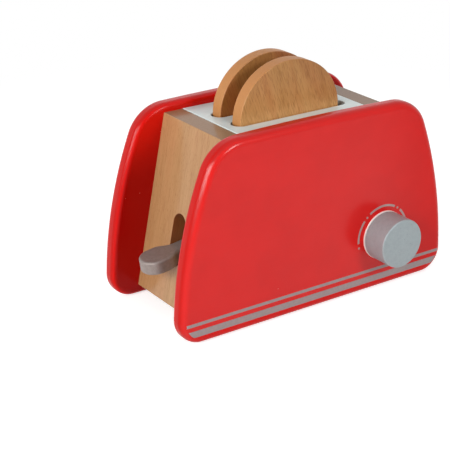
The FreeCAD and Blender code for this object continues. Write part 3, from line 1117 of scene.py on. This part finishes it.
@dataclass
class LiftGear:
    """The lever and what it lifts."""

    def dress(self, silver: SilverEnamel, bare: Callable[..., Beech]) -> None:
        """Finishes the lever, its rod, the lift bar, the tray and the guide rods.

        Args:
            silver: The lever's silver paint, darker than the knob's as painted shade and
                reflection.
            bare: Gives the bare beech for a name and a grain.
        """
        dress(silver, "lever")
        dress(Steel("zinc_rod", roughness=0.25, metallic=1.0), "lever_pivot_rod")
        dress(
            bare("bare_beech_sleeves", Grain.CROSSWAYS),
            "lever_spacer_front",
            "lever_spacer_back",
            "lift_bar",
        )
        dress(bare("bare_beech_tray", Grain.LENGTHWAYS), "lift_tray")
        dress(bare("bare_beech_rods", Grain.UPRIGHT), "guide_rod_front", "guide_rod_back")


@dataclass
class Toast:
    """The two loose slices, with their grain's lean in degrees."""

    grain_lean: float = 17.0

    def dress(self) -> None:
        """Finishes the slices in their darker beech."""
        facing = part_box("toast_slice_front")[1].y / MM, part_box("toast_slice_back")[0].y / MM
        toasted = Beech(
            "toast_beech",
            roughness=0.5,
            specular=0.35,
            lean=self.grain_lean,
            coat=0.25,
            coat_roughness=0.3,
            pale=(0.545, 0.280, 0.094),
            deep=(0.44, 0.203, 0.056),
            fleck=(0.22, 0.075, 0.012),
            end=(0.58, 0.212, 0.066),
            blush=(0.60, 0.205, 0.075),
            flecks=replace(Beech.flecks, tint=0.0),
            dashes=Specks((2.3, 2.3, 0.17), 0.44, 0.85, tint=0.5),
            pores=replace(Beech.pores, tint=0.08),
            browning_and_shade=ToastingAndShade(between=facing, arch=Fade(114.0, 138.0)),
        )
        dress(toasted, "toast_slice_front", "toast_slice_back")


@dataclass
class Knob:
    """The turned knob on its axle."""

    def dress(self, silver: SilverEnamel, bare: Callable[..., Beech]) -> None:
        """Finishes the knob, its washer, its axle and its collar.

        Args:
            silver: The knob's silver paint.
            bare: Gives the bare beech for a name and a grain.
        """
        dress(silver, "knob")
        dress(Plastic("cream_plastic", roughness=0.5), "knob_washer")
        dress(bare("bare_beech_axle", Grain.CROSSWAYS), "knob_axle", "knob_retainer")


# ---------------------------------------------------------------------- studio


@dataclass(frozen=True)
class SoftBox:
    """One soft lamp, placed round the object by angles in degrees and sizes in metres.

    Azimuth 0 is in front of the printed panel and negative ones are to its left.
    """

    name: str
    azimuth: float
    elevation: float
    distance: float
    width: float
    height: float
    radiance: float
    colour: Colour = (1.0, 1.0, 1.0)
    mirrored: bool = True

    def hang(self, aim: Vector) -> None:
        """Hangs the lamp so that it points at a place.

        Args:
            aim: The place, in metres.
        """
        a, e = math.radians(self.azimuth), math.radians(self.elevation)
        away = Vector((math.sin(a) * math.cos(e), -math.cos(a) * math.cos(e), math.sin(e)))
        lamp = bpy.data.lights.new(self.name, "AREA")
        lamp.shape = "RECTANGLE"
        lamp.size, lamp.size_y = self.width, self.height
        lamp.energy = self.radiance * math.pi * self.width * self.height
        lamp.color = self.colour
        held = bpy.data.objects.new(self.name, lamp)
        bpy.context.scene.collection.objects.link(held)
        held.location = aim + away * self.distance
        held.rotation_euler = (-away).to_track_quat("-Z", "Y").to_euler()
        held.visible_glossy = self.mirrored
        log.info("%s hangs at %.0f, %.0f degrees", self.name, self.azimuth, self.elevation)


@dataclass
class Studio:
    """A pale floor under plain soft light.

    Where it is looked at, the floor is lifted a little near the object, which keeps the shadow,
    and it fades to plain white further away. Its size is in metres and the fade in millimetres.
    """

    floor_size: float = 8.0
    floor_white: Fade = Fade(220.0, 500.0)
    floor_grey: float = 0.80
    floor_lift: float = 0.57
    ambient: float = 0.06
    # Azimuth, elevation, distance, width, height and radiance of each lamp.
    lamps: Sequence[SoftBox] = (
        SoftBox("lamp_left", -72.0, 20.5, 0.85, 0.81, 0.34, 8.0),
        SoftBox("lamp_front", 13.0, 26.0, 0.95, 0.26, 0.24, 16.0),
        SoftBox("lamp_above", -20.0, 68.0, 1.00, 1.20, 1.20, 0.36, mirrored=False),
        SoftBox("lamp_behind", 180.0, 20.0, 1.30, 1.80, 0.90, 1.75, mirrored=False),
        SoftBox("lamp_right", 100.0, 18.0, 1.30, 1.30, 0.80, 2.1, mirrored=False),
    )

    def build(self) -> None:
        """Sets the view, the world, the floor and the lamps."""
        bpy.context.scene.view_settings.view_transform = "Standard"
        self.light_world()
        self.lay_floor()
        low, high = solid_box
        for lamp in self.lamps:
            lamp.hang((low + high) / 2)

    def shown(self, board: NodeBoard) -> Shade:
        """Finds the rays that look at the background, straight or by a gloss or a glass.

        Args:
            board: The node tree of the world or the floor.

        Returns:
            A shade that is 1 for those rays and 0 for the rest.
        """
        rays = board.node("LightPath").outputs
        seen = Shade(rays["Is Camera Ray"]).either(Shade(rays["Is Glossy Ray"]))
        return seen.either(Shade(rays["Is Transmission Ray"]))

    def light_world(self) -> None:
        """Makes the world white where it is looked at and dimmer where it lights."""
        world = bpy.data.worlds.new("studio")
        bpy.context.scene.world = world
        world.use_nodes = True
        board = NodeBoard(world.node_tree)
        board.tree.nodes.clear()
        dim = board.node("Background", {}, {"Color": WHITE, "Strength": self.ambient})
        seen = board.node("Background", {}, {"Color": WHITE, "Strength": 1.0})
        mix = board.node(
            "MixShader", {}, {0: self.shown(board), 1: dim.outputs[0], 2: seen.outputs[0]}
        )
        board.node("OutputWorld", {}, {"Surface": mix.outputs[0]})

    def lay_floor(self) -> None:
        """Lays a pale floor that keeps the soft shadow and looks white beside it."""
        bpy.ops.mesh.primitive_plane_add(size=self.floor_size, location=(0.0, 0.0, 0.0))
        floor = bpy.context.object
        floor.name = "studio_floor"
        material = bpy.data.materials.new("studio_floor")
        material.use_nodes = True
        board = NodeBoard(material.node_tree)
        board.tree.nodes.clear()
        grey = self.floor_grey
        pale = board.node("BsdfDiffuse", {}, {"Color": (grey, grey, grey, 1.0)})
        glow = board.node("Emission", {}, {"Color": WHITE, "Strength": self.floor_lift})
        white = board.node("Emission", {}, {"Color": WHITE, "Strength": 1.0})
        lifted = board.node("AddShader", {}, {0: pale.outputs[0], 1: glow.outputs[0]})
        away = board.node("VectorMath", {"operation": "LENGTH"}, {0: board.place()}).outputs[1]
        far = self.floor_white.of(Shade(away))
        lifted = board.node("MixShader", {}, {0: far, 1: lifted.outputs[0], 2: white.outputs[0]})
        mix = board.node(
            "MixShader", {}, {0: self.shown(board), 1: pale.outputs[0], 2: lifted.outputs[0]}
        )
        board.node("OutputMaterial", {}, {"Surface": mix.outputs[0]})
        floor.data.materials.append(material)


@dataclass(frozen=True)
class Camera:
    """The camera, at the angle and distance that the object is looked at from.

    Its place and its clip range are in metres, its turn in degrees and its lens in millimetres.
    """

    place: Point = (-0.429948, -0.568477, 0.340218)
    turn: Point = (67.28779, -0.62104, -36.31117)
    lens: float = 104.75
    sensor: float = 36.0
    shift: tuple[float, float] = (-0.1110, -0.0083)
    clip: tuple[float, float] = (0.01, 50.0)

    def set_up(self) -> None:
        """Sets the camera up and makes it the scene's."""
        data = bpy.data.cameras.new("camera")
        data.sensor_width, data.lens = self.sensor, self.lens
        data.shift_x, data.shift_y = self.shift
        data.clip_start, data.clip_end = self.clip
        camera = bpy.data.objects.new("camera", data)
        bpy.context.scene.collection.objects.link(camera)
        camera.location = self.place
        camera.rotation_euler = Euler(tuple(math.radians(a) for a in self.turn), "XYZ")
        bpy.context.scene.camera = camera


def lacquered(name: str, grain: Grain, lean: float = 0.0) -> Beech:
    """Beech under a clear satin lacquer, for the end boards.

    Args:
        name: The finish's name.
        grain: The axis that the grain runs along.
        lean: How far the grain leans from it, in degrees.

    Returns:
        The finish.
    """
    return Beech(
        name,
        roughness=0.45,
        specular=0.3,
        coat=0.5,
        coat_roughness=0.16,
        grain=grain,
        lean=lean,
    )


def bare(name: str, grain: Grain, lean: float = 0.0) -> Beech:
    """Sanded beech without lacquer, for what is inside and below.

    Args:
        name: The finish's name.
        grain: The axis that the grain runs along.
        lean: How far the grain leans from it, in degrees.

    Returns:
        The finish.
    """
    return Beech(
        name,
        roughness=0.62,
        grain=grain,
        lean=lean,
        pale=(0.60, 0.36, 0.19),
        deep=(0.50, 0.28, 0.135),
        relief=0.05,
    )


def main() -> None:
    """Builds and finishes the toaster piece by piece, then sets up the studio."""
    logging.basicConfig(level=logging.INFO, format="%(name)s: %(message)s")
    bpy.ops.object.select_all(action="DESELECT")
    silver = SilverEnamel("silver_enamel", roughness=0.42, metallic=0.12, coat=0.15)
    # The lever's silver is darker and warmer than the knob's: painted shade and painted reflection
    # of the wood.
    shaded_silver = SilverEnamel(
        "shaded_silver_enamel",
        roughness=0.45,
        metallic=0.35,
        coat=0.1,
        colour=(0.257, 0.213, 0.195),
        deep=(0.226, 0.182, 0.164),
        flake=(0.33, 0.295, 0.28),
    )
    ink = SilverEnamel(
        "silver_ink",
        roughness=0.5,
        metallic=0.25,
        colour=(0.295, 0.245, 0.242),
        deep=(0.268, 0.222, 0.219),
        flake=(0.37, 0.325, 0.32),
    )
    dial_ink = replace(
        ink,
        name="dial_ink",
        colour=(0.40, 0.275, 0.26),
        deep=(0.37, 0.25, 0.235),
        flake=(0.48, 0.37, 0.35),
    )
    red = PanelEnamel(
        "red_enamel",
        roughness=0.3,
        specular=0.05,
        coat=0.56,
        coat_roughness=0.21,
        inside_span=(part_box("front_panel")[1].y / MM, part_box("back_panel")[0].y / MM),
    )
    panels = SidePanels()
    panels.dress(red)
    panels.build(ink, dial_ink)
    Case().dress(lacquered, bare)
    LiftGear().dress(shaded_silver, bare)
    Toast().dress()
    Knob().dress(silver, bare)
    Studio().build()
    Camera().set_up()


if __name__ == "__main__":
    main()
